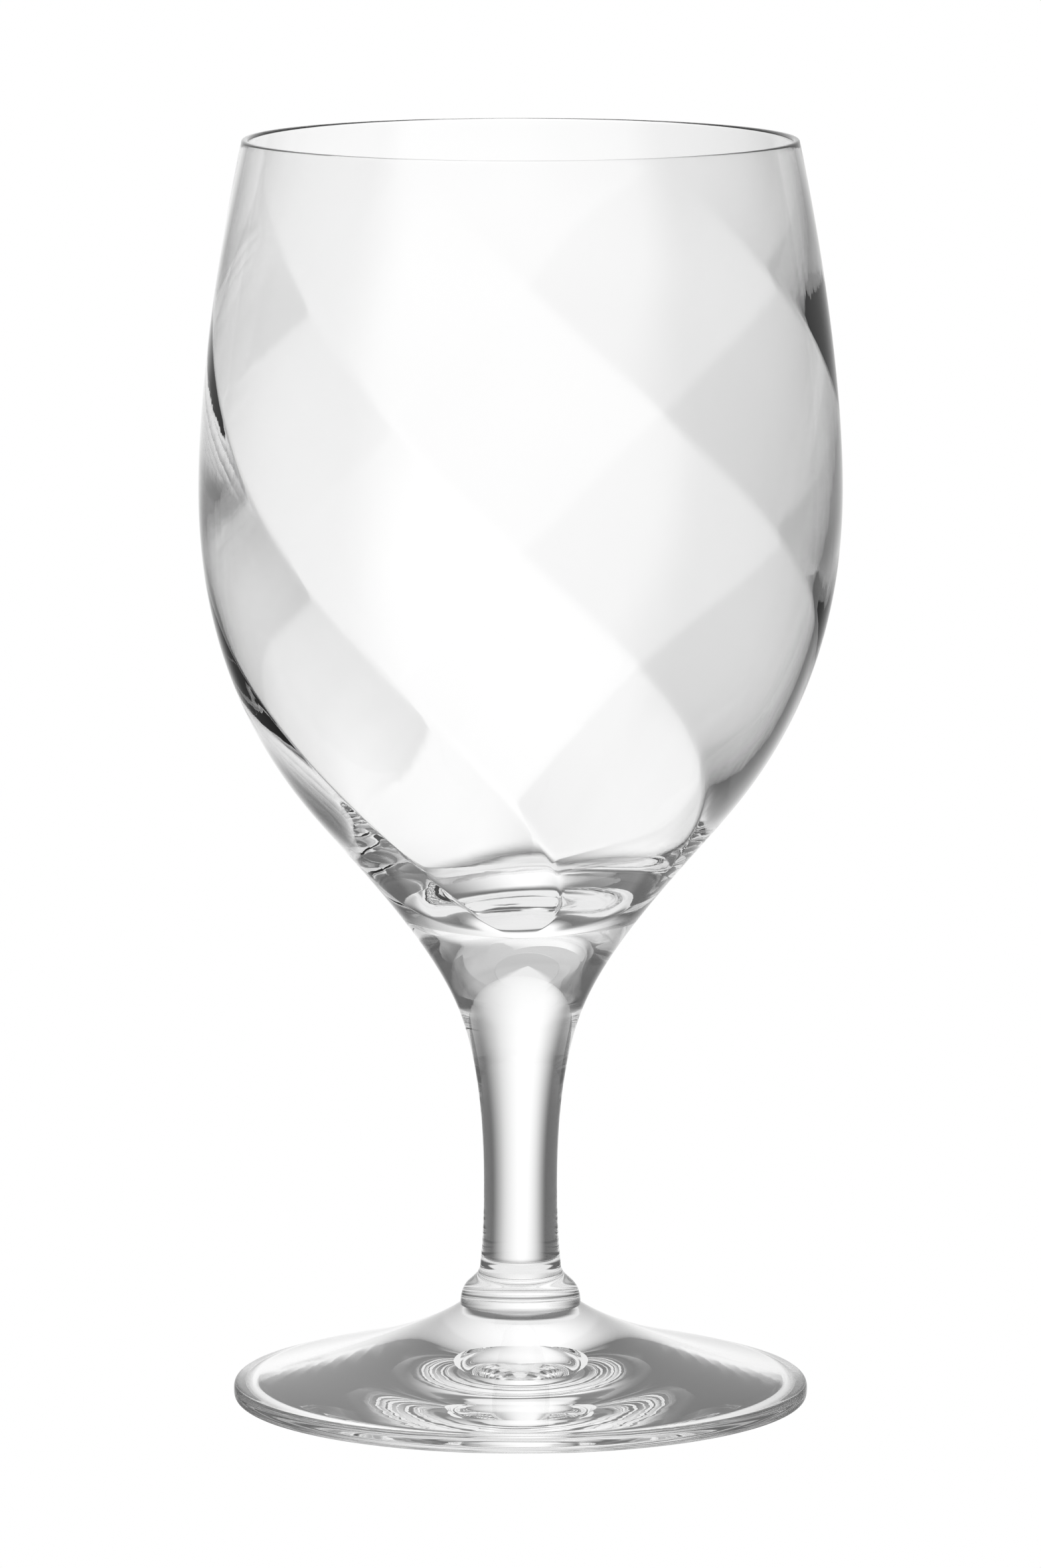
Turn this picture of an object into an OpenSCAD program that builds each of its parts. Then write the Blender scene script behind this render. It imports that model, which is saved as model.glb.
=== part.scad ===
// Short-stemmed beer glass of clear crystal, blown in four gathers that are fused hot:
// an optic-blown bowl, a drawn stem, a collar and a spread foot.
// Millimetres, +Z up, origin at the centre of the ring that the foot stands on.

/* [Bowl] */
// Height of the bowl from its seam with the stem to the rim
bowl_h = 119; // [95:1:150]
// Outer diameter of the bowl at the rim
rim_d = 76.4; // [62:0.2:88]
// Inward lean of the wall at the rim, in degrees
rim_lean = 12; // [2:0.5:18]
// Largest outer diameter of the bowl
belly_d = 88.5; // [80:0.2:104]
// Height of the largest diameter above the bowl's seam
belly_h = 70.6; // [60:0.2:84]
// Outer diameter of the bowl part way down its flank
flank_d = 58.8; // [50:0.2:68]
// Height of that part of the flank above the bowl's seam
flank_h = 26.8; // [22:0.2:34]
// Outward lean of the flank there, in degrees
flank_lean = 39.3; // [34:0.2:46]
// Thickness of the glass at the rim
rim_wall = 1; // [0.7:0.05:1.6]
// Thickness of the glass at the belly, at its thinnest
belly_wall = 1.6; // [1:0.1:2.5]
// Thickness of the glass at the flank, at its thinnest
flank_wall = 2.6; // [2:0.1:6]
// Height of solid glass between the bowl's seam and the floor of its hollow
base_t = 13.6; // [9:0.2:17]
// Rounding of the fire-polished lip
lip_round = 0.4; // [0.2:0.05:0.6]

/* [Optic] */
// Panels pressed into the inside of the bowl
panels = 7; // [5:1:12]
// Twist of the panels for each millimetre of height, in degrees
panel_twist = 1.42; // [0:0.02:2.4]
// Turn of the panels about the axis, from +X at the rim, in degrees
panel_turn = -9.5; // [-36:0.5:36]
// Swell of a panel's middle into the hollow at the belly
belly_swell = 0.8; // [0.1:0.05:1.2]
// Swell of a panel's middle into the hollow at the flank
flank_swell = 1.1; // [0.2:0.05:1.5]
// Height below the rim over which the panels fade out
swell_fade = 20; // [8:0.5:30]
// Radius of the hollow below which the panels fade out towards the floor
swell_floor_r = 8; // [5:0.5:14]

/* [Stem] */
// Height of the stem from the collar to the bowl's seam
stem_h = 37.4; // [28:0.2:80]
// Diameter of the stem's head where the bowl is fused to it
stem_head_d = 18.4; // [15:0.1:24]
// Outward lean of the outline at the stem's head, in degrees
stem_head_lean = 24.5; // [15:0.2:34]
// Diameter of the stem at its waist
waist_d = 10.2; // [8:0.1:13]
// Height of the waist above the collar
waist_h = 11.6; // [7:0.2:18]
// Diameter of the stem's lower end, where the collar is fused to it
stem_end_d = 11.2; // [9:0.1:14]
// Outward lean of the outline at the stem's lower end, in degrees
stem_end_lean = 6; // [2:0.5:14]

/* [Collar] */
// Height of the collar from the foot to the stem
collar_h = 5.5; // [4:0.1:9]
// Diameter of the collar where it is fused to the foot
collar_d = 16.7; // [15:0.1:22]

/* [Foot] */
// Largest diameter of the foot
foot_d = 79.7; // [66:0.1:96]
// Height of the foot up to its seam with the collar
foot_h = 13.1; // [10:0.1:22]
// Thickness of the foot's rounded edge
foot_edge_t = 2.5; // [1.6:0.1:3.6]
// Rounding of the foot's edge, inwards from its largest diameter
foot_edge_round = 0.7; // [0.4:0.05:1.2]
// Fall of the foot's top next to the collar, in degrees
foot_neck_fall = 34; // [25:0.5:45]
// Fall of the foot's top next to its edge, in degrees
foot_edge_fall = 18; // [10:0.5:26]
// Width of the flat ring that the foot stands on
rest_w = 1.6; // [1:0.1:4]
// Rise of the hollow under the foot, above the ring that it stands on
foot_hollow = 3.4; // [1:0.1:6]
// Fall of the hollow next to the bead around it, in degrees
foot_hollow_fall = 8; // [4:0.5:14]
// Width of the bead between the hollow and the ring that the foot stands on
bead_w = 2; // [1:0.1:4]
// Rise of the bead above that ring
bead_h = 0.55; // [0.2:0.05:0.9]
// Fall of the bead next to that ring, in degrees
bead_fall = 24; // [16:1:34]

/* [Hidden] */

$fn = 96;

// Steps along each curve of an outline, and along a small rounding
curve_steps = 10;
round_steps = 4;

// Facets across one panel of the optic
panel_facets = 8;

// How far the cutter of the hollow stands above the rim
cut_over = 1;

// Heights of the fused seams and of the rim
collar_z = foot_h;
stem_z = collar_z + collar_h;
bowl_z = stem_z + stem_h;
rim_z = bowl_z + bowl_h;

// Points of the outline, as [radius, height]
lip_r = min(lip_round, 0.45 * rim_wall);
lip_out = [rim_d / 2 - lip_r, rim_z - lip_r];
lip_in = [rim_d / 2 - rim_wall + lip_r, rim_z - lip_r];
rim_out = lip_out + lip_r * [cos(rim_lean), sin(rim_lean)];
rim_in = lip_in - lip_r * [cos(rim_lean), sin(rim_lean)];
belly_out = [belly_d / 2, bowl_z + belly_h];
belly_in = belly_out - [belly_wall, 0];
flank_out = [flank_d / 2, bowl_z + flank_h];
flank_in = flank_out + flank_wall * [-cos(flank_lean), sin(flank_lean)];
floor_in = [0, bowl_z + base_t];
head = [stem_head_d / 2, bowl_z];
waist = [waist_d / 2, stem_z + waist_h];
stem_end = [stem_end_d / 2, stem_z];
collar_end = [collar_d / 2, collar_z];
edge_top = [foot_d / 2 - foot_edge_round, foot_edge_t];
edge_mid = [foot_d / 2, foot_edge_t / 2];
rest_out = [foot_d / 2 - foot_edge_round, 0];
rest_in = rest_out - [rest_w, 0];
bead = rest_in + [-bead_w, bead_h];
hollow_top = [0, foot_hollow];

// How far each end of a curve holds its direction, as a share of the curve's chord
head_hold = [0.32, 0.23];
flank_hold = [0.34, 0.37];
belly_hold = [0.26, 0.37];
floor_hold = [0.2, 0.5];
waist_hold = [0.34, 0.3];
stem_end_hold = [0.35, 0.36];
collar_hold = [0.62, 0.39];
foot_hold = [0.27, 0.32];
edge_hold = [0.45, 0.45];
hollow_hold = [0.3, 0.4];
bead_hold = [0.4, 0.3];

// Direction of an outline that climbs and leans outwards by an angle
function lean(a) = [sin(a), cos(a)];

// Point of a cubic curve
function cubic(a, b, c, d, t) =
    pow(1 - t, 3) * a + 3 * pow(1 - t, 2) * t * b + 3 * (1 - t) * t * t * c + pow(t, 3) * d;

// Curve from p to q that leaves and arrives at the given leans
function curve(p, p_lean, q, q_lean, hold, steps = curve_steps) =
    let (chord = norm(q - p))
    let (p_arm = p + hold[0] * chord * lean(p_lean))
    let (q_arm = q - hold[1] * chord * lean(q_lean))
    [for (i = [0:steps]) cubic(p, p_arm, q_arm, q, i / steps)];

// Arc about a centre
function arc(centre, r, from, to) =
    [for (i = [0:round_steps])
        let (a = from + (to - from) * i / round_steps)
        centre + r * [cos(a), sin(a)]];

// List without its first point, so that a curve carries on from the one before
function tail(points) = [for (i = [1:len(points) - 1]) points[i]];

// Rise from 0 to 1 with level ends
function ease(t) = let (s = min(max(t, 0), 1)) s * s * (3 - 2 * s);

// Outside of the bowl from its seam to the crown of the lip
function bowl_outline() = concat(
    curve(head, stem_head_lean, flank_out, flank_lean, head_hold),
    tail(curve(flank_out, flank_lean, belly_out, 0, flank_hold)),
    tail(curve(belly_out, 0, rim_out, -rim_lean, belly_hold)),
    tail(arc(lip_out, lip_r, rim_lean, 90))
);

// Inside of the bowl along the panels' edges, from next to its floor to the crown of the lip
function hollow_outline() = concat(
    tail(curve(floor_in, 90, flank_in, flank_lean, floor_hold)),
    tail(curve(flank_in, flank_lean, belly_in, 0, flank_hold)),
    tail(curve(belly_in, 0, rim_in, -rim_lean, belly_hold)),
    tail(arc(lip_in, lip_r, 180 + rim_lean, 90))
);

// Swell of a panel's middle at a point of the inside outline
function swell(p) =
    let (climb = ease((p[1] - flank_in[1]) / (belly_in[1] - flank_in[1])))
    let (full = flank_swell + (belly_swell - flank_swell) * climb)
    full * ease(p[0] / swell_floor_r) * ease((rim_z - lip_r - p[1]) / swell_fade);

// Share of the swell at a facet's corner: none on a panel's edge, all in its middle
function across(facet) = let (v = (facet % panel_facets) / panel_facets) 4 * v * (1 - v);

// Ring of the inside at a point of its outline, turned by the twist at that height
function hollow_ring(p) =
    let (count = panels * panel_facets)
    let (turn = panel_turn + panel_twist * (rim_z - p[1]))
    [for (j = [0:count - 1])
        let (a = turn + 360 * j / count)
        let (r = p[0] - swell(p) * across(j))
        [r * cos(a), r * sin(a), p[1]]];

// Space inside the bowl, carried on past the rim
module hollow() {
    outline = hollow_outline();
    crown = outline[len(outline) - 1];
    levels = concat(outline, [crown + [0, cut_over]]);
    count = panels * panel_facets;
    last = len(levels) - 1;
    points = concat([[0, 0, floor_in[1]]], [for (p = levels) each hollow_ring(p)]);
    function at(k, j) = 1 + k * count + j % count;
    floor_faces = [for (j = [0:count - 1]) [0, at(0, j), at(0, j + 1)]];
    wall_faces = [for (k = [0:last - 1], j = [0:count - 1]) each [
        [at(k, j), at(k + 1, j), at(k + 1, j + 1)],
        [at(k, j), at(k + 1, j + 1), at(k, j + 1)]
    ]];
    lid_face = [for (j = [count - 1:-1:0]) at(last, j)];
    polyhedron(points, concat(floor_faces, wall_faces, [lid_face]));
}

// Bowl: smooth outside, twisted optic panels inside, solid base
module bowl() {
    color("whitesmoke", 0.5)
        difference() {
            rotate_extrude()
                polygon(concat([[0, bowl_z]], bowl_outline(), [[0, rim_z]]));
            hollow();
        }
}

// Stem: drawn to a waist, flaring up into the bowl
module stem() {
    color("gainsboro", 0.6)
        rotate_extrude()
            polygon(concat(
                [[0, stem_z]],
                curve(stem_end, -stem_end_lean, waist, 0, stem_end_hold),
                tail(curve(waist, 0, head, stem_head_lean, waist_hold)),
                [[0, bowl_z]]
            ));
}

// Collar: the button of glass that joins the stem to the foot
module collar() {
    color("lightgray", 0.6)
        rotate_extrude()
            polygon(concat(
                [[0, collar_z]],
                curve(collar_end, 0, stem_end, -stem_end_lean, collar_hold),
                [[0, stem_z]]
            ));
}

// Foot: spread disc with a rounded edge, hollowed so that it stands on a flat ring
module foot() {
    color("gainsboro", 0.5)
        rotate_extrude()
            polygon(concat(
                curve(hollow_top, 90, bead, 90 + foot_hollow_fall, hollow_hold),
                tail(curve(bead, 90 + foot_hollow_fall, rest_in, 90 + bead_fall, bead_hold, round_steps)),
                curve(rest_out, 90, edge_mid, 0, edge_hold, round_steps),
                tail(curve(edge_mid, 0, edge_top, foot_edge_fall - 90, edge_hold, round_steps)),
                tail(curve(edge_top, foot_edge_fall - 90, collar_end, foot_neck_fall - 90, foot_hold)),
                [[0, collar_z]]
            ));
}

bowl();
stem();
collar();
foot();
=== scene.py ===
import math
import bpy
import numpy as np
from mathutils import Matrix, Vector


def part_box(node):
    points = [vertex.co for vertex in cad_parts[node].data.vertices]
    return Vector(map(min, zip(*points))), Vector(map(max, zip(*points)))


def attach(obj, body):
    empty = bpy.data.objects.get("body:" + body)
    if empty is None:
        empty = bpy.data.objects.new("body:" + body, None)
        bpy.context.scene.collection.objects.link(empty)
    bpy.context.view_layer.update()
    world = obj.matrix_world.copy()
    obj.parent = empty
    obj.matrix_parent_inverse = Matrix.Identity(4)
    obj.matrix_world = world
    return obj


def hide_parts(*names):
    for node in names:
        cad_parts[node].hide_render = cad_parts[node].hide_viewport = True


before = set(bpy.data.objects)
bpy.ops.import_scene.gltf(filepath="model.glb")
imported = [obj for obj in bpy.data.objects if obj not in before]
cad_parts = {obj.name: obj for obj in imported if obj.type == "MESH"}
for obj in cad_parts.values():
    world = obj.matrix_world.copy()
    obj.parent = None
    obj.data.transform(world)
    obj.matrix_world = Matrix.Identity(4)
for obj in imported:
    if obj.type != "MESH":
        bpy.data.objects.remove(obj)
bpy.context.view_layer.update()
print("frame loaded:", sorted(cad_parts))

mm = 0.001  # the outlines below are in millimetres, Blender is in metres


# tools shared by every piece

def hexToLinear(code):
    parts = [int(code[i:i + 2], 16) / 255 for i in (1, 3, 5)]
    return [c / 12.92 if c <= 0.04045 else ((c + 0.055) / 1.055) ** 2.4 for c in parts] + [1.0]


def emptyTree(owner):
    # nodes of a material or of the world, cleared
    owner.use_nodes = True
    owner.node_tree.nodes.clear()
    return owner.node_tree


def addNode(tree, kind, settings=None, links=None):
    node = tree.nodes.new(kind)
    for key, value in (settings or {}).items():
        if isinstance(key, int) or key in node.inputs:
            node.inputs[key].default_value = value
        else:
            setattr(node, key, value)
    for key, source in (links or {}).items():
        tree.links.new(source, node.inputs[key])
    return node


def between(ends, unit=1.0):
    # settings of a soft step from the first end to the second
    return {"interpolation_type": "SMOOTHSTEP", "From Min": ends[0] * unit, "From Max": ends[1] * unit}


def ease(t):
    t = np.clip(t, 0, 1)
    return t * t * (3 - 2 * t)


def lean(angle):
    return np.array([math.sin(math.radians(angle)), math.cos(math.radians(angle))])


def curve(start, startLean, end, endLean, hold, steps=40):
    # cubic from start to end as [radius, height], leaving and arriving at the given leans from upright
    start, end = np.array(start, float), np.array(end, float)
    chord = np.linalg.norm(end - start)
    startArm = start + hold[0] * chord * lean(startLean)
    endArm = end - hold[1] * chord * lean(endLean)
    t = np.linspace(0, 1, steps + 1)[:, None]
    return ((1 - t) ** 3 * start + 3 * (1 - t) ** 2 * t * startArm
            + 3 * (1 - t) * t ** 2 * endArm + t ** 3 * end)


def arc(centre, radius, fromAngle, toAngle, steps=8):
    a = np.radians(np.linspace(fromAngle, toAngle, steps + 1))
    return np.array(centre) + radius * np.column_stack([np.cos(a), np.sin(a)])


def join(*runs):
    # runs of an outline end to end, without the doubled points
    return np.vstack([runs[0]] + [run[1:] for run in runs[1:]])


def turn(outline, sides, phase=0.0):
    # rings of a body of revolution
    a = math.radians(phase) + np.arange(sides) * 2 * math.pi / sides
    return [np.column_stack([r * np.cos(a), r * np.sin(a), np.full(sides, z)]) for r, z in outline]


def skin(name, rings, lowSeam=False, highSeam=False, creases=()):
    # closed mesh over rings of points, with a pole at both ends; a seam is the flat face of a fused joint
    sides = len(rings[0])
    low = np.array([[0, 0, rings[0][:, 2].mean()]])
    high = np.array([[0, 0, rings[-1][:, 2].mean()]])
    points = np.vstack([low] + list(rings) + [high]) * mm
    j = np.arange(sides)
    nextJ = (j + 1) % sides
    faces = [(0, 1 + b, 1 + a) for a, b in zip(j, nextJ)]
    for k in range(len(rings) - 1):
        a, b = 1 + k * sides, 1 + (k + 1) * sides
        faces += list(zip(a + j, a + nextJ, b + nextJ, b + j))
    last, pole = 1 + (len(rings) - 1) * sides, len(points) - 1
    faces += [(pole, last + a, last + b) for a, b in zip(j, nextJ)]
    mesh = bpy.data.meshes.new(name)
    mesh.from_pydata(points.tolist(), [], [tuple(int(i) for i in f) for f in faces])
    mesh.polygons.foreach_set("use_smooth", np.ones(len(faces), bool))
    slots = np.zeros(len(faces), int)
    slots[:sides] = 1 if lowSeam else 0
    slots[-sides:] = 1 if highSeam else 0
    mesh.polygons.foreach_set("material_index", slots)
    sharpRings = set(creases) | ({0} if lowSeam else set()) | ({len(rings) - 1} if highSeam else set())
    ends = np.zeros(len(mesh.edges) * 2, int)
    mesh.edges.foreach_get("vertices", ends)
    ringOf = (ends.reshape(-1, 2) - 1) // sides
    sharp = (ringOf[:, 0] == ringOf[:, 1]) & np.isin(ringOf[:, 0], list(sharpRings))
    mesh.attributes.new("sharp_edge", "BOOLEAN", "EDGE").data.foreach_set("value", sharp)
    mesh.update()
    piece = bpy.data.objects.new(name, mesh)
    bpy.context.scene.collection.objects.link(piece)
    return piece


# heights of the seams and widths, from the frame
seamZ = {name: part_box(name)[0].z / mm for name in ("collar", "stem", "bowl")}
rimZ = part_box("bowl")[1].z / mm
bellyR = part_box("bowl")[1].x / mm
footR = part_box("foot")[1].x / mm
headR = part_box("stem")[1].x / mm
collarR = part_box("collar")[1].x / mm
stemEndR = 5.6  # the stem's lower end, on the collar


# bowl: blown in an optic mould with seven panels, twisted and blown out
bowlSizes = {
    "rimR": 38.2, "rimLean": 12, "bellyH": 70.6, "flankR": 29.4, "flankH": 26.8, "flankLean": 39.3,
    "headLean": 24.5, "rimWall": 1.0, "bellyWall": 1.6, "flankWall": 2.6, "base": 13.6, "lip": 0.4,
    "headHold": (0.32, 0.23), "flankHold": (0.34, 0.37), "bellyHold": (0.26, 0.37), "floorHold": (0.2, 0.5),
}
optic = {
    "panels": 7, "facets": 40, "twist": 1.42, "turn": -9.5,
    "bellySwell": 0.8, "flankSwell": 1.1, "fade": 20, "floorR": 8,
    "drift": 6,         # the panels bunch up towards the back, in degrees
    "edgeSoft": 0.012,  # rounding of a panel's edge, as a share of the panel
    "calm": 0.95,       # how far the panels are flattened at the left and the right side of the bowl
    # where they are less flattened: side, height, reach and share
    "lively": ((1, 150, 46, 0.5), (-1, 136, 28, 0.5), (-1, 80, 24, 0.3)),
}
# for each piece's glass: spacing of its faint lines across, along and outward, their depth, and up to what
# height it is worn by standing
bowlGlass = {
    "name": "blown_crystal", "across": 2.4, "along": 90, "outward": 400, "depth": 0.004, "scuff": 0,
}


def blowBowl(b, o):
    z0 = seamZ["bowl"]
    lipOut = np.array([b["rimR"] - b["lip"], rimZ - b["lip"]])
    lipIn = np.array([b["rimR"] - b["rimWall"] + b["lip"], rimZ - b["lip"]])
    lipTilt = b["lip"] * lean(90 - b["rimLean"])
    bellyOut = np.array([bellyR, z0 + b["bellyH"]])
    flankOut = np.array([b["flankR"], z0 + b["flankH"]])
    bellyIn = bellyOut - [b["bellyWall"], 0]
    flankIn = flankOut + b["flankWall"] * lean(b["flankLean"] - 90)
    floorIn = np.array([0, z0 + b["base"]])
    outside = join(
        curve([headR, z0], b["headLean"], flankOut, b["flankLean"], b["headHold"]),
        curve(flankOut, b["flankLean"], bellyOut, 0, b["flankHold"], 60),
        curve(bellyOut, 0, lipOut + lipTilt, -b["rimLean"], b["bellyHold"], 60),
        arc(lipOut, b["lip"], b["rimLean"], 90),
    )
    inside = join(
        curve(floorIn, 90, flankIn, b["flankLean"], b["floorHold"], 70),
        curve(flankIn, b["flankLean"], bellyIn, 0, b["flankHold"], 70),
        curve(bellyIn, 0, lipIn - lipTilt, -b["rimLean"], b["bellyHold"], 70),
        arc(lipIn, b["lip"], 180 + b["rimLean"], 90),
    )
    # swell across a panel, from its edge to its middle and back
    sides = o["panels"] * o["facets"]
    step = np.arange(sides)
    v = (step % o["facets"]) / o["facets"]
    v = np.minimum(v, 1 - v)
    soft = np.sqrt(v ** 2 + o["edgeSoft"] ** 2) - o["edgeSoft"]
    across = 4 * soft * (1 - soft)
    across /= across.max()
    rings = turn(outside, sides, o["turn"])
    for r, z in inside[::-1][1:-1]:
        climb = ease((z - flankIn[1]) / (bellyIn[1] - flankIn[1]))
        swell = o["flankSwell"] + (o["bellySwell"] - o["flankSwell"]) * climb
        swell *= ease(r / o["floorR"]) * ease((rimZ - b["lip"] - z) / o["fade"])
        a = np.radians(o["turn"] + o["twist"] * (rimZ - z)) + step * 2 * math.pi / sides
        a += math.radians(o["drift"]) * (1 + np.sin(a))
        flat = np.full(sides, o["calm"])
        for side, height, span, share in o["lively"]:
            near = share * ease(1.5 - 1.5 * abs(z - height) / span)  # whole within a third of its reach
            flat *= np.where(side * np.cos(a) > 0, 1 - near, 1)
        reach = r - swell * across * (1 - flat * np.cos(a) ** 4)  # the power keeps it to the sides
        rings.append(np.column_stack([reach * np.cos(a), reach * np.sin(a), np.full(sides, z)]))
    return skin("blown_bowl", rings, lowSeam=True)


# stem: drawn to a waist from the gather under the bowl
stemSizes = {
    "waistR": 5.1, "waistH": 11.6, "endLean": 6, "headLean": 24.5,
    "endHold": (0.35, 0.36), "waistHold": (0.34, 0.3), "sides": 160,
}
stemGlass = {
    "name": "drawn_crystal", "across": 1.6, "along": 70, "outward": 400, "depth": 0.003, "scuff": 0,
}


def drawStem(s):
    low, high = seamZ["stem"], seamZ["bowl"]
    waist = [s["waistR"], low + s["waistH"]]
    outline = join(
        curve([stemEndR, low], -s["endLean"], waist, 0, s["endHold"]),
        curve(waist, 0, [headR, high], s["headLean"], s["waistHold"], 70),
    )
    return skin("drawn_stem", turn(outline, s["sides"]), lowSeam=True, highSeam=True)


# collar: the button of glass that sticks the foot to the stem
collarSizes = {"endLean": 6, "hold": (0.62, 0.39), "sides": 160}
collarGlass = {
    "name": "pressed_crystal", "across": 30, "along": 0.9, "outward": 400, "depth": 0.006, "scuff": 0,
}


def pressCollar(c):
    outline = curve([collarR, seamZ["collar"]], 0, [stemEndR, seamZ["stem"]], -c["endLean"], c["hold"], 50)
    return skin("stem_collar", turn(outline, c["sides"]), lowSeam=True, highSeam=True)


# foot: spread with paddles, hollow underneath
footSizes = {
    "edge": 2.5, "edgeRound": 0.7, "neckFall": 34, "edgeFall": 18, "rest": 1.6,
    "hollow": 3.4, "hollowFall": 8, "beadW": 2.0, "beadH": 0.55, "beadFall": 24,
    "topHold": (0.27, 0.32), "edgeHold": (0.45, 0.45), "hollowHold": (0.3, 0.4), "beadHold": (0.4, 0.3),
    "sides": 288,
    "wave": 0.05,  # unevenness that the paddles leave, on top and underneath
    # its waves: how many round the foot, start, start underneath, turn towards the edge, and share
    "waves": ((2, 0.9, 0, 2.5, 1.0), (3, 0, 2.1, -4, 0.6)),
}
footGlass = {
    "name": "paddled_crystal", "across": 24, "along": 400, "outward": 2.2, "depth": 0.006, "scuff": 0.2,
}


def spreadFoot(f):
    edgeTop = [footR - f["edgeRound"], f["edge"]]
    edgeMid = [footR, f["edge"] / 2]
    restOut = [footR - f["edgeRound"], 0]
    restIn = [restOut[0] - f["rest"], 0]
    bead = [restIn[0] - f["beadW"], f["beadH"]]
    hollow = join(
        curve([0, f["hollow"]], 90, bead, 90 + f["hollowFall"], f["hollowHold"], 60),
        curve(bead, 90 + f["hollowFall"], restIn, 90 + f["beadFall"], f["beadHold"], 16),
    )[1:]
    outline = join(
        hollow,
        np.array([restIn, restOut]),
        curve(restOut, 90, edgeMid, 0, f["edgeHold"], 10),
        curve(edgeMid, 0, edgeTop, f["edgeFall"] - 90, f["edgeHold"], 10),
        curve(edgeTop, f["edgeFall"] - 90, [collarR, seamZ["collar"]], f["neckFall"] - 90, f["topHold"], 80),
    )
    rings = turn(outline, f["sides"])
    for k, ring in enumerate(rings):
        r, a = outline[k, 0], np.arctan2(ring[:, 1], ring[:, 0])
        under = k < len(hollow)
        inner, outer = (0, bead[0]) if under else (collarR, edgeTop[0])
        out = min(max((r - inner) / (outer - inner), 0), 1)
        bulge = f["wave"] * math.sin(math.pi * out) ** 2
        for count, start, underStart, swirl, share in f["waves"]:
            ring[:, 2] += bulge * share * np.sin(count * a + start + underStart * under + swirl * out)
    return skin("spread_foot", rings, highSeam=True, creases=[len(hollow) - 1])


# fire-polished crystal: colourless, with sharp reflections; each way of working it leaves its own faint
# lines: cords along the blown bowl and the drawn stem, bands round the pressed collar, rings on the foot
polish = {
    "ior": 1.52, "clean": "#ffffff", "wiped": "#fdfdfd",
    "wipe": 26, "wipeFrom": (0.5, 0.75), "smear": 0.008,  # size of the traces of wiping, and their roughness
    "scratch": 0.7, "worn": 0.35, "wornFade": 0.1,        # the fine scratches of the ring that it stands on
}


def crystalMaterial(g, p):
    material = bpy.data.materials.new(g["name"])
    tree = emptyTree(material)
    coords = addNode(tree, "ShaderNodeTexCoord")
    axes = addNode(tree, "ShaderNodeSeparateXYZ", None, {0: coords.outputs["Object"]})
    level = addNode(tree, "ShaderNodeCombineXYZ", None, {"X": axes.outputs["X"], "Y": axes.outputs["Y"]})
    radius = addNode(tree, "ShaderNodeVectorMath", {"operation": "LENGTH"}, {0: level.outputs[0]})
    up = addNode(tree, "ShaderNodeMath", {"operation": "DIVIDE", 1: g["along"] * mm}, {0: axes.outputs["Z"]})
    run = addNode(tree, "ShaderNodeMath", {"operation": "MULTIPLY_ADD", 1: 1 / (g["outward"] * mm)},
                  {0: radius.outputs["Value"], 2: up.outputs[0]})
    x = addNode(tree, "ShaderNodeMath", {"operation": "DIVIDE", 1: g["across"] * mm}, {0: axes.outputs["X"]})
    y = addNode(tree, "ShaderNodeMath", {"operation": "DIVIDE", 1: g["across"] * mm}, {0: axes.outputs["Y"]})
    grain = addNode(tree, "ShaderNodeCombineXYZ", None,
                    {"X": x.outputs[0], "Y": y.outputs[0], "Z": run.outputs[0]})
    lines = addNode(tree, "ShaderNodeTexNoise", {"Scale": 1.0, "Detail": 2.0}, {"Vector": grain.outputs[0]})
    relief = addNode(tree, "ShaderNodeBump", {"Strength": 1.0, "Distance": g["depth"] * mm},
                     {"Height": lines.outputs[0]})
    wiped = addNode(tree, "ShaderNodeTexNoise", {"Scale": 1 / (p["wipe"] * mm), "Detail": 3.0},
                    {"Vector": coords.outputs["Object"]})
    smear = addNode(tree, "ShaderNodeMapRange", {
        "From Min": p["wipeFrom"][0], "From Max": p["wipeFrom"][1], "To Max": p["smear"]},
        {"Value": wiped.outputs[0]})
    scratches = addNode(tree, "ShaderNodeTexNoise", {"Scale": 1 / (p["scratch"] * mm), "Detail": 2.0},
                        {"Vector": coords.outputs["Object"]})
    worn = addNode(tree, "ShaderNodeMapRange", {
        "From Min": g["scuff"] * mm, "From Max": (g["scuff"] - p["wornFade"]) * mm, "To Max": p["worn"]},
        {"Value": axes.outputs["Z"]})
    rough = addNode(tree, "ShaderNodeMath", {"operation": "MULTIPLY_ADD"},
                    {0: worn.outputs[0], 1: scratches.outputs[0], 2: smear.outputs[0]})
    tint = addNode(tree, "ShaderNodeMix", {
        "data_type": "RGBA", 6: hexToLinear(p["clean"]), 7: hexToLinear(p["wiped"])}, {0: wiped.outputs[0]})
    surface = addNode(tree, "ShaderNodeBsdfPrincipled", {"IOR": p["ior"], "Transmission Weight": 1.0}, {
        "Base Color": tint.outputs[2], "Roughness": rough.outputs[0], "Normal": relief.outputs[0]})
    addNode(tree, "ShaderNodeOutputMaterial", None, {"Surface": surface.outputs["BSDF"]})
    return material


# the face where two gathers of the same glass have melted together: nothing to see
def seamMaterial():
    material = bpy.data.materials.new("fused_crystal_seam")
    tree = emptyTree(material)
    surface = addNode(tree, "ShaderNodeBsdfPrincipled", {
        "Base Color": hexToLinear("#ffffff"), "Alpha": 0.0, "IOR": 1.0, "Transmission Weight": 1.0})
    addNode(tree, "ShaderNodeOutputMaterial", None, {"Surface": surface.outputs["BSDF"]})
    return material


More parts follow.
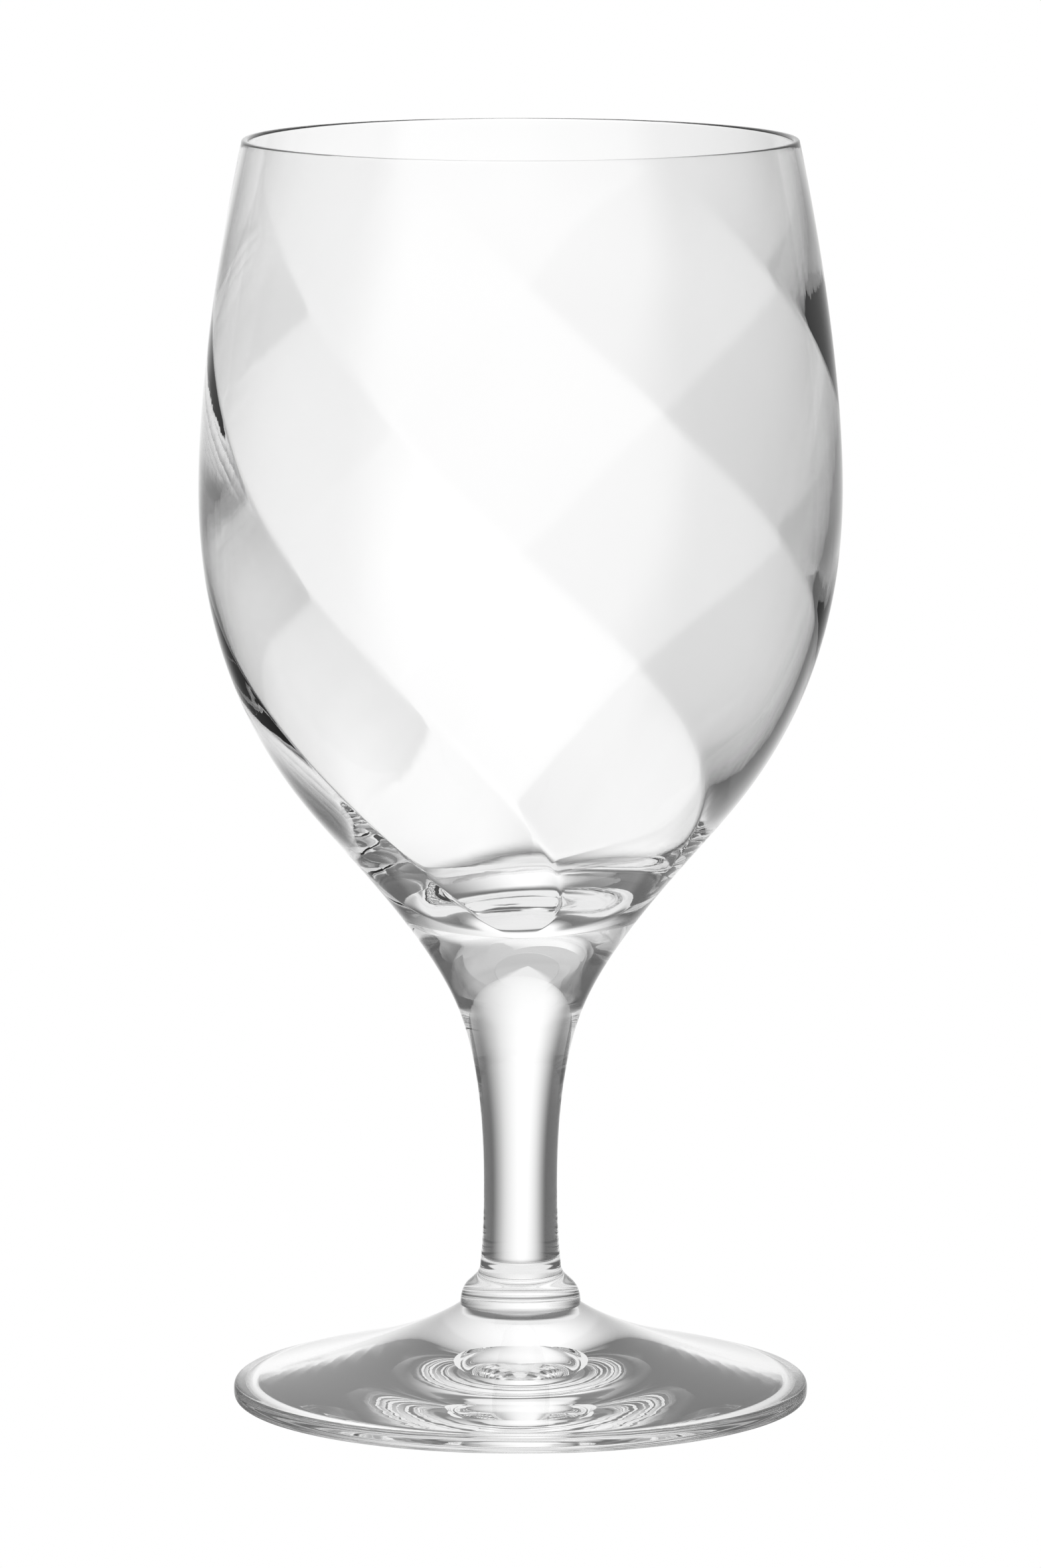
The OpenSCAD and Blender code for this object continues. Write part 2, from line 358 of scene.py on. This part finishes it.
pieces = {
    "bowl": blowBowl(bowlSizes, optic),
    "stem": drawStem(stemSizes),
    "collar": pressCollar(collarSizes),
    "foot": spreadFoot(footSizes),
}
glasses = {"bowl": bowlGlass, "stem": stemGlass, "collar": collarGlass, "foot": footGlass}
crystals = {node: crystalMaterial(glass, polish) for node, glass in glasses.items()}
seam = seamMaterial()
for node, piece in pieces.items():
    piece.data.materials.append(crystals[node])
    piece.data.materials.append(seam)
    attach(piece, "root")
    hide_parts(node)
print("glass made:", {node: len(piece.data.polygons) for node, piece in pieces.items()})


# sheets of the studio, which are no pieces of the glass
def flatSheet(name, corners, material):
    mesh = bpy.data.meshes.new(name)
    mesh.from_pydata(corners, [], [(0, 1, 2, 3)])
    mesh.materials.append(material)
    sheet = bpy.data.objects.new(name, mesh)
    bpy.context.scene.collection.objects.link(sheet)
    return sheet


# backdrop: a white panel close behind the glass, brighter to the left, between two dark flags
backdrop = {
    "away": 220, "halfWidth": 300, "low": -110, "high": 600,
    "level": 1.06, "tilt": 0.0007,            # straight behind the glass, and its fall for each mm to the right
    "left": (-148, -12), "right": (184, -8),  # from where a flag covers it to where it is full
    "spread": 0.2,                            # the left side moves out by this much for each mm of height
    "flagLow": 0.12, "flagHigh": 0.5, "flagRise": (0, 300),  # the flags catch more light higher up
    "dimLow": 0.75, "dimBelow": (-40, -110),  # share that the panel loses towards its lower edge
    "dimHigh": 0.1, "dimAbove": (40, 300),    # and towards its upper edge
}


def hangBackdrop(b):
    material = bpy.data.materials.new("lit_white_panel")
    tree = emptyTree(material)
    place = addNode(tree, "ShaderNodeNewGeometry")
    axes = addNode(tree, "ShaderNodeSeparateXYZ", None, {0: place.outputs["Position"]})
    sideways, up = axes.outputs["X"], axes.outputs["Z"]
    fromLeft = addNode(tree, "ShaderNodeMath", {"operation": "MULTIPLY_ADD", 1: b["spread"]},
                       {0: up, 2: sideways})
    pastLeft = addNode(tree, "ShaderNodeMapRange", between(b["left"], mm), {"Value": fromLeft.outputs[0]})
    pastRight = addNode(tree, "ShaderNodeMapRange", between(b["right"], mm), {"Value": sideways})
    onPanel = addNode(tree, "ShaderNodeMath", {"operation": "MULTIPLY"},
                      {0: pastLeft.outputs[0], 1: pastRight.outputs[0]})
    slant = addNode(tree, "ShaderNodeMath", {"operation": "MULTIPLY_ADD", 1: -b["tilt"] / mm, 2: b["level"]},
                    {0: sideways})
    below = addNode(tree, "ShaderNodeMapRange", {
        **between(b["dimBelow"], mm), "To Min": 1.0, "To Max": 1 - b["dimLow"]}, {"Value": up})
    above = addNode(tree, "ShaderNodeMapRange", {
        **between(b["dimAbove"], mm), "To Min": 1.0, "To Max": 1 - b["dimHigh"]}, {"Value": up})
    dim = addNode(tree, "ShaderNodeMath", {"operation": "MULTIPLY"},
                  {0: below.outputs[0], 1: above.outputs[0]})
    panel = addNode(tree, "ShaderNodeMath", {"operation": "MULTIPLY"},
                    {0: slant.outputs[0], 1: dim.outputs[0]})
    flag = addNode(tree, "ShaderNodeMapRange", {
        **between(b["flagRise"], mm), "To Min": b["flagLow"], "To Max": b["flagHigh"]}, {"Value": up})
    level = addNode(tree, "ShaderNodeMix", {"data_type": "FLOAT"},
                    {"Factor": onPanel.outputs[0], "A": flag.outputs[0], "B": panel.outputs[0]})
    glow = addNode(tree, "ShaderNodeEmission", {"Color": hexToLinear("#ffffff")},
                   {"Strength": level.outputs[0]})
    addNode(tree, "ShaderNodeOutputMaterial", None, {"Surface": glow.outputs[0]})
    x, y, low, high = b["halfWidth"] * mm, b["away"] * mm, b["low"] * mm, b["high"] * mm
    panelSheet = flatSheet("backdrop", [(-x, y, low), (x, y, low), (x, y, high), (-x, y, high)], material)
    panelSheet.visible_camera = False


# studio around it: dark flags at the sides, a ceiling, a bright room in front, a white table
studio = {
    "flag": 0.12,
    "ceiling": 0.55, "ceilingAt": (35, 60),  # from the elevation where it starts to where it is full
    "room": 0.85, "roomAt": (112, 134),      # degrees round from straight behind the glass, to both sides
    "table": 0.85, "tableAt": (-40, -47),
}


def lightStudio(s):
    world = bpy.data.worlds.new("studio")
    bpy.context.scene.world = world
    tree = emptyTree(world)
    coords = addNode(tree, "ShaderNodeTexCoord")
    axes = addNode(tree, "ShaderNodeSeparateXYZ", None, {0: coords.outputs["Generated"]})
    turnRight = addNode(tree, "ShaderNodeMath", {"operation": "ARCTAN2"},
                        {0: axes.outputs["X"], 1: axes.outputs["Y"]})
    climb = addNode(tree, "ShaderNodeMath", {"operation": "ARCSINE"}, {0: axes.outputs["Z"]})
    azimuth = addNode(tree, "ShaderNodeMath", {"operation": "DEGREES"}, {0: turnRight.outputs[0]})
    elevation = addNode(tree, "ShaderNodeMath", {"operation": "DEGREES"}, {0: climb.outputs[0]})
    aside = addNode(tree, "ShaderNodeMath", {"operation": "ABSOLUTE"}, {0: azimuth.outputs[0]})
    onCeiling = addNode(tree, "ShaderNodeMapRange", {
        **between(s["ceilingAt"]), "To Min": s["flag"], "To Max": s["ceiling"]},
        {"Value": elevation.outputs[0]})
    inRoom = addNode(tree, "ShaderNodeMapRange", between(s["roomAt"]), {"Value": aside.outputs[0]})
    around = addNode(tree, "ShaderNodeMix", {"data_type": "FLOAT", "B": s["room"]},
                     {"Factor": inRoom.outputs[0], "A": onCeiling.outputs[0]})
    onTable = addNode(tree, "ShaderNodeMapRange", between(s["tableAt"]), {"Value": elevation.outputs[0]})
    level = addNode(tree, "ShaderNodeMix", {"data_type": "FLOAT", "B": s["table"]},
                    {"Factor": onTable.outputs[0], "A": around.outputs[0]})
    # the camera itself sees plain white
    path = addNode(tree, "ShaderNodeLightPath")
    shown = addNode(tree, "ShaderNodeMix", {"data_type": "FLOAT", "B": 1.0},
                    {"Factor": path.outputs["Is Camera Ray"], "A": level.outputs[0]})
    background = addNode(tree, "ShaderNodeBackground", {"Color": hexToLinear("#ffffff")},
                         {"Strength": shown.outputs[0]})
    addNode(tree, "ShaderNodeOutputWorld", None, {"Surface": background.outputs[0]})


# floor: plain white paper for the eye; what the glass shows of it is the table of the studio above
paper = {"reach": 2000, "under": 0.05}


def layFloor(p):
    material = bpy.data.materials.new("white_paper")
    tree = emptyTree(material)
    path = addNode(tree, "ShaderNodeLightPath")
    white = addNode(tree, "ShaderNodeEmission", {"Color": hexToLinear("#ffffff"), "Strength": 1.0})
    clear = addNode(tree, "ShaderNodeBsdfTransparent")
    shown = addNode(tree, "ShaderNodeMixShader", None,
                    {0: path.outputs["Is Camera Ray"], 1: clear.outputs[0], 2: white.outputs[0]})
    addNode(tree, "ShaderNodeOutputMaterial", None, {"Surface": shown.outputs[0]})
    r, z = p["reach"] * mm, -p["under"] * mm
    sheet = flatSheet("floor", [(-r, -r, z), (r, -r, z), (r, r, z), (-r, r, z)], material)


hangBackdrop(backdrop)
lightStudio(studio)
layFloor(paper)
print("studio lit")

# camera at the photograph's height and distance
view = {"distance": 1365, "height": 280.9, "pitch": 8.13, "lens": 229.5}
camera = bpy.data.objects.new("camera", bpy.data.cameras.new("camera"))
bpy.context.scene.collection.objects.link(camera)
camera.location = (0, -view["distance"] * mm, view["height"] * mm)
camera.rotation_euler = (math.radians(90 - view["pitch"]), 0, 0)
camera.data.lens = view["lens"]
bpy.context.scene.camera = camera

bounces = 32  # light runs round inside the wall many times
cycles = bpy.context.scene.cycles
cycles.max_bounces = bounces
cycles.transmission_bounces = bounces
cycles.glossy_bounces = bounces
cycles.transparent_max_bounces = bounces
bpy.context.scene.view_settings.view_transform = "Standard"
